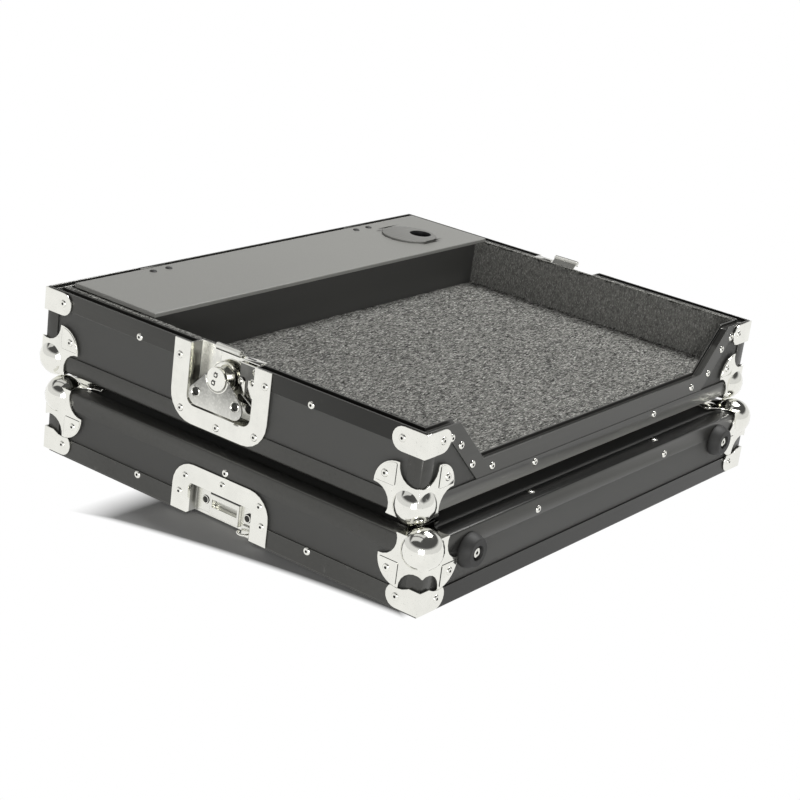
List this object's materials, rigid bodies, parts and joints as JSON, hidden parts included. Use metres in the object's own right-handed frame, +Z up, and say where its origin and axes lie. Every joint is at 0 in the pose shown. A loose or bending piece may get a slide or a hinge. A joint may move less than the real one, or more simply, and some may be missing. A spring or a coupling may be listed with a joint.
{
  "type": "flight case",
  "caption": "Shallow flight case for a table-top controller: tray with a cut-away front and hinged cable-bay cover, resting on its own lid.",
  "frame": {"origin": "on the table under the middle of the footprint of the stacked case", "axes": "+X along the front to the right, +Y to the back, +Z up"},
  "size_m": [0.5698, 0.4838, 0.1599],
  "materials": {
    "black_anodised_aluminium": "satin black anodised",
    "charcoal_laminate": "charcoal laminate on plywood",
    "bright_nickel_steel": "bright nickel plate on pressed steel",
    "black_rubber": "matt moulded rubber",
    "grey_needle_carpet": "speckled grey needle felt over a pad",
    "black_foam": "open-cell foam",
    "grey_satin_panel": "light grey satin laminate, dark edge"
  },
  "bodies": {
    "lid": {"lid_top_panel": "charcoal_laminate", "lid_wall_front": "charcoal_laminate", "lid_wall_back": "charcoal_laminate", "lid_wall_left": "charcoal_laminate", "lid_wall_right": "charcoal_laminate", "lid_closure_front": "black_anodised_aluminium", "lid_closure_back": "black_anodised_aluminium", "lid_edge_angles": "black_anodised_aluminium", "lid_ball_corner_front_left": "bright_nickel_steel", "lid_ball_corner_front_right": "bright_nickel_steel", "lid_ball_corner_back_right": "bright_nickel_steel", "lid_ball_corner_back_left": "bright_nickel_steel", "lid_corner_clip_front_left": "bright_nickel_steel", "lid_corner_clip_front_right": "bright_nickel_steel", "lid_corner_clip_back_right": "bright_nickel_steel", "lid_corner_clip_back_left": "bright_nickel_steel", "lid_foot_left": "black_rubber", "lid_foot_right": "black_rubber", "keeper_dish_left": "bright_nickel_steel", "keeper_dish_right": "bright_nickel_steel", "keeper_plate_left": "bright_nickel_steel", "keeper_plate_right": "bright_nickel_steel", "lid_lining": "black_foam"},
    "base": {"base_floor_panel": "charcoal_laminate", "base_wall_front": "charcoal_laminate", "base_wall_back": "charcoal_laminate", "base_wall_left": "charcoal_laminate", "base_wall_right": "charcoal_laminate", "base_closure_front": "black_anodised_aluminium", "base_closure_back": "black_anodised_aluminium", "base_closure_left_front": "black_anodised_aluminium", "base_closure_left_back": "black_anodised_aluminium", "base_closure_right_front": "black_anodised_aluminium", "base_closure_right_back": "black_anodised_aluminium", "base_edge_angles": "black_anodised_aluminium", "base_ball_corner_front_left": "bright_nickel_steel", "base_ball_corner_front_right": "bright_nickel_steel", "base_ball_corner_back_right": "bright_nickel_steel", "base_ball_corner_back_left": "bright_nickel_steel", "base_corner_clip_front_left": "bright_nickel_steel", "base_corner_clip_front_right": "bright_nickel_steel", "base_corner_clip_back_right": "bright_nickel_steel", "base_corner_clip_back_left": "bright_nickel_steel", "tray_lining": "grey_needle_carpet", "latch_dish_left": "bright_nickel_steel", "latch_dish_right": "bright_nickel_steel", "cable_bay_wall": "charcoal_laminate", "cover_hinge_left": "bright_nickel_steel", "cover_hinge_right": "bright_nickel_steel", "handle_bracket": "bright_nickel_steel"},
    "cover": {"cable_bay_cover": "grey_satin_panel", "cable_grommet": "black_rubber"},
    "handle": {"handle_bail": "black_rubber"},
    "hub_left": {"latch_hub_left": "bright_nickel_steel"},
    "hook_left": {"latch_hook_left": "bright_nickel_steel"},
    "wing_left": {"latch_wing_left": "bright_nickel_steel"},
    "hub_right": {"latch_hub_right": "bright_nickel_steel"},
    "hook_right": {"latch_hook_right": "bright_nickel_steel"},
    "wing_right": {"latch_wing_right": "bright_nickel_steel"}
  },
  "joints": [
    {"name": "base_lift", "type": "slide", "parent": "lid", "child": "base", "axis": [0, 0, 1], "range_m": [0, 0.25]},
    {"name": "cover_hinge", "type": "hinge", "parent": "base", "child": "cover", "pos_m": [0.0047, 0.2132, 0.1556], "axis": [-1, 0, 0], "range_deg": [0, 100]},
    {"name": "handle_swing", "type": "hinge", "parent": "base", "child": "handle", "pos_m": [0.0047, 0.2357, 0.1205], "axis": [1, 0, 0], "range_deg": [0, 90]},
    {"name": "latch_turn_left", "type": "hinge", "parent": "base", "child": "hub_left", "pos_m": [-0.2696, 0.0103, 0.1304], "axis": [-1, 0, 0], "range_deg": [0, 180]},
    {"name": "hook_pull_left", "type": "slide", "parent": "base", "child": "hook_left", "axis": [0, 0, -1], "range_m": [0, 0.008]},
    {"name": "wing_fold_left", "type": "hinge", "parent": "hub_left", "child": "wing_left", "pos_m": [-0.2696, 0.0103, 0.1304], "axis": [0, 1, 0], "range_deg": [0, 90]},
    {"name": "latch_turn_right", "type": "hinge", "parent": "base", "child": "hub_right", "pos_m": [0.279, 0.0055, 0.1304], "axis": [1, 0, 0], "range_deg": [0, 180]},
    {"name": "hook_pull_right", "type": "slide", "parent": "base", "child": "hook_right", "axis": [0, 0, -1], "range_m": [0, 0.008]},
    {"name": "wing_fold_right", "type": "hinge", "parent": "hub_right", "child": "wing_right", "pos_m": [0.279, 0.0055, 0.1304], "axis": [0, -1, 0], "range_deg": [0, 90]}
  ],
  "couplings": [
    {"joint": "hook_pull_left", "follows": "latch_turn_left", "m_per_rad": 0.002546},
    {"joint": "hook_pull_right", "follows": "latch_turn_right", "m_per_rad": 0.002546}
  ]
}
